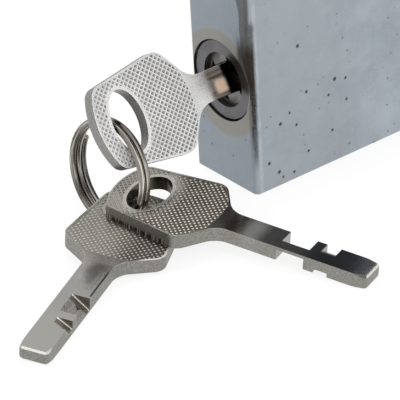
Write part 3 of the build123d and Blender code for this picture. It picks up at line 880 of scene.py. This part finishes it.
def blockFinish(p, b):
    f = Finish("zincPlate")
    x, y, z = f.parts()
    n = {name: f.noise(*size) for name, size in p["noise"].items()}
    broad, mottle, fleck = n["broad"], n["mottle"], n["fleck"]
    wave = mottle - 0.5
    shade = broad.step(0.3, 0.7) * 0.55 + mottle.step(0.3, 0.75) * 0.45
    colour = f.blend(shade, p["dark"], p["light"])
    colour = f.blend(n["bluish"].step(0.5, 0.75) * 0.5, colour, p["blue"])
    # Darker and warmer toward the cylinder, with small dull patches
    colour = f.blend(x.fade(*p["warmFrom"]) * (0.35 + broad * 0.6), colour, p["warm"])
    colour = f.blend(n["dull"].step(0.50, 0.70) * 0.45, colour, p["dark"])
    colour = f.blend(n["pale"].step(0.45, 0.80) * 0.16, colour, p["light"])
    # The end faces are painted darker, as shade
    onEnd = x.size().fade(*p["endFrom"])
    colour = f.blend(onEnd * (0.75 + wave * 0.6), colour, p["end"])
    # Pits: the largest one by one, the others at random
    jitter = f.node("ShaderNodeTexNoise", {}, None, None, p["warpScale"], out=1)
    warped = f.blend(p["warp"], f.place, jitter, "ADD")
    marks = scattered(f, warped, **p["loose"]) * y.fade(*p["looseFace"])
    for pitX, pitZ, size in pits:
        spot = Vector((pitX, p["frontY"], pitZ)) * mm
        away = f.node("ShaderNodeVectorMath", {"operation": "DISTANCE"}, warped, spot, out=1)
        marks = marks.most(away.fade(size, size * 0.5))
    colour = f.blend(scattered(f, warped, **p["tiny"]) * broad.step(0.25, 0.45) * 0.75, colour, p["speck"])
    # Pale ring rubbed round the cylinder, wider below
    around = f.length(0.0, y, z - p["haloZ"] * mm)
    halo = (around + wave * (p["haloWave"] * mm)).fade(*p["haloEdge"]) * x.fade(*p["haloFace"])
    colour = f.blend(halo * 0.8, colour, p["halo"])
    # Front upright edge worn to bare metal, speckled black and stained beside the cylinder, the stain
    # partly a painted reflection of it
    lean = ((z - b["leanFrom"] * mm).most(0.0) * b["lean"]).least(b["leanCap"] * mm)
    wide = y - lean + z.fade(*b["belowFrom"]) * (b["below"] * mm) + wave * (b["wave"] * mm)
    corner = x.fade(*b["cornerFrom"]) * x.fade(*b["cornerTo"]).most(z.fade(*b["roundBelow"]))
    edge = wide.fade(*b["edge"]) * corner
    colour = f.blend(edge * z.fade(*b["low"]) * (0.80 + fleck.step(0.45, 0.6) * 0.2), colour, p["bare"])
    black = edge * z.fade(*b["blackFrom"]) * z.fade(*b["blackTo"])
    colour = f.blend(black * (0.45 + fleck.step(0.4, 0.55) * 0.5), colour, p["pit"])
    stain = y.fade(*b["stainSide"]) * x.fade(*b["stainFace"])
    stain = stain * z.fade(*b["stainFrom"]) * z.fade(*b["stainTo"])
    colour = f.blend(stain * (0.6 + mottle.step(0.3, 0.65) * 0.4), colour, p["stain"])
    # A thin painted highlight line on the wide face's own edge
    line = y.fade(*b["lineSide"]) * x.fade(*b["lineFrom"]) * x.fade(*b["lineTo"])
    colour = f.blend(line * mottle.step(0.3, 0.6) * 0.5, colour, p["rim"])
    # The bore's mouth is painted near-black, as shade in the gap round the cylinder
    inBore = x.fade(*p["boreFace"]) * around.fade(*p["boreEdge"])
    colour = f.blend(inBore, colour, p["bore"])
    colour = f.blend(marks, colour, p["pit"])
    height = n["grain"] * 0.25 + mottle - marks * 3.0 + edge * fleck * 0.8
    rough = 0.40 + wave * 0.16 + halo * 0.08 + marks * 0.35
    return f.close(Base_Color=colour, Metallic=1 - marks.most(inBore) * 0.8, Roughness=rough,
                   Normal=f.bump(height, *p["bump"]))


# Lathe-turned metal: lines round the cylinder's axis, with a painted shadow of the key and a painted
# highlight on the rim of its mouth

lathe = dict(axisZ=26, rings=9000.0, shadowSide=(-1.5, -3.5), shadowZ=29.8, shadowReach=(5.2, 3.0),
             rim=(9.35, 9.55), rimSide=(-1, -5), rimFrom=(20, 25), rimColour=(0.80, 0.77, 0.73))


def turned(name, light, dark, rough, grimy=None):
    f = Finish(name)
    x, y, z = f.parts()
    around = f.length(0.0, y, z - lathe["axisZ"] * mm)
    fine = f.noise(1.0, 2, 0.5, f.vector(around * lathe["rings"], x * lathe["rings"], 0.0))
    cloud = f.noise(140, 4)
    colour = f.blend(cloud.step(0.3, 0.7), dark, light)
    colour = f.blend(fine.step(0.35, 0.75) * 0.3, colour, light)
    if grimy:
        # A painted brown-black shadow of the key on the side next to the block's front edge, and a painted
        # highlight on the rim
        beside = y.fade(*lathe["shadowSide"]) * (z - lathe["shadowZ"] * mm).size().fade(*lathe["shadowReach"])
        colour = f.blend(beside * (0.7 + cloud * 0.5).least(1.0), colour, grimy)
        rim = around.fade(*lathe["rim"]) * y.fade(*lathe["rimSide"]) * z.fade(*lathe["rimFrom"])
        colour = f.blend(rim * 0.9, colour, lathe["rimColour"])
    return f.close(Base_Color=colour, Metallic=1.0, Roughness=rough + fine * 0.12,
                   Normal=f.bump(fine, 0.15, 0.00006))


def plain(name, light, dark, rough, scale=300.0, stretch=(1, 1, 1)):
    f = Finish(name)
    fine = f.noise(scale * 6, 3, 0.55, f.stretched(stretch))
    cloud = f.noise(scale, 4)
    colour = f.blend(cloud.step(0.3, 0.7), dark, light)
    colour = f.blend(fine.step(0.4, 0.8) * 0.25, colour, tuple(min(1, c * 1.2) for c in light))
    return f.close(Base_Color=colour, Metallic=1.0, Roughness=rough + fine * 0.12,
                   Normal=f.bump(fine + cloud * 0.5, 0.15, 0.0001))


stack = [name for name in nodes if name.startswith(("disc_", "spacer_"))]
metals = [
    (turned, "turnedCase", ["cylinder_case"],
     dict(light=(0.155, 0.152, 0.160), dark=(0.105, 0.102, 0.107), rough=0.30,
          grimy=(0.020, 0.015, 0.012))),
    (turned, "turnedBrass", ["rotor", "sidebar"],
     dict(light=(0.12, 0.10, 0.075), dark=(0.07, 0.058, 0.042), rough=0.40)),
    (plain, "stampedBrass", stack, dict(light=(0.64, 0.50, 0.29), dark=(0.52, 0.39, 0.21), rough=0.34)),
    (plain, "hardenedSteel", ["drill_plate", "cam"],
     dict(light=(0.055, 0.052, 0.05), dark=(0.03, 0.028, 0.026), rough=0.36)),
    (plain, "brightBolt", ["bolt"],
     dict(light=(0.56, 0.57, 0.59), dark=(0.46, 0.47, 0.49), rough=0.26,
          scale=200.0, stretch=(0.15, 1, 1))),
    (plain, "groundPin", ["locking_pin", "stop_pin"],
     dict(light=(0.50, 0.50, 0.51), dark=(0.40, 0.40, 0.41), rough=0.26)),
    (plain, "blackScrew", ["cylinder_screw", "cam_screw", "case_circlip"],
     dict(light=(0.12, 0.12, 0.13), dark=(0.08, 0.08, 0.085), rough=0.36)),
    (plain, "plateSteel", ["front_plate", "bore_plug"],
     dict(light=(0.20, 0.195, 0.185), dark=(0.07, 0.068, 0.065), rough=0.28))]


def dressFrame():
    dress(nodes["padlock_body"], blockFinish(plate, band))
    for way, name, pieces, look in metals:
        material = way(name, **look)
        for piece in pieces:
            dress(nodes[piece], material)
    print("frame dressed")


dressFrame()
